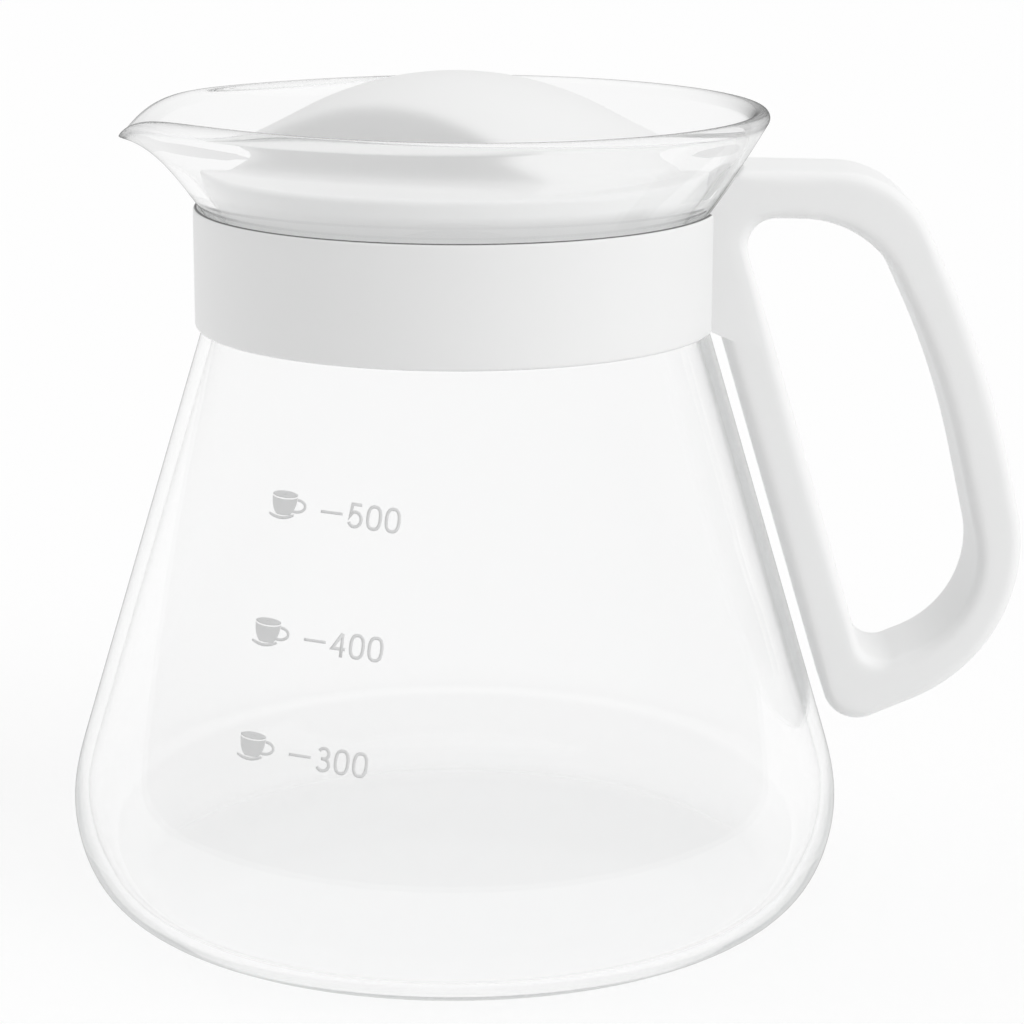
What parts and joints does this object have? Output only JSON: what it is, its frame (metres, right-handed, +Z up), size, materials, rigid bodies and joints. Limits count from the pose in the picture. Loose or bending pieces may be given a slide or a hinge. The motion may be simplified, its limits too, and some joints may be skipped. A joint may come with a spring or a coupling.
{
  "type": "glass coffee server",
  "caption": "Conical glass coffee jug with a waisted neck, drawn spout, white plastic band and closed loop handle, and a lift-off lid with a half-dome grip",
  "frame": {"origin": "middle of the flat underside of the glass base, on the vessel's axis", "axes": "+Z is up along the vessel's axis, +X points to the handle, -X to the spout, -Y to the viewer of the picture"},
  "size_m": [0.1393, 0.1138, 0.1218],
  "materials": {
    "clear_glass": "clear, fire-polished",
    "white_plastic": "satin moulded white"
  },
  "bodies": {
    "jug": {"glass_vessel": "clear_glass", "neck_band": "white_plastic", "handle": "white_plastic"},
    "lid": {"lid": "white_plastic"}
  },
  "joints": [
    {"name": "lid_lift", "type": "slide", "parent": "jug", "child": "lid", "axis": [0, 0, 1], "range_m": [0, 0.06]}
  ]
}
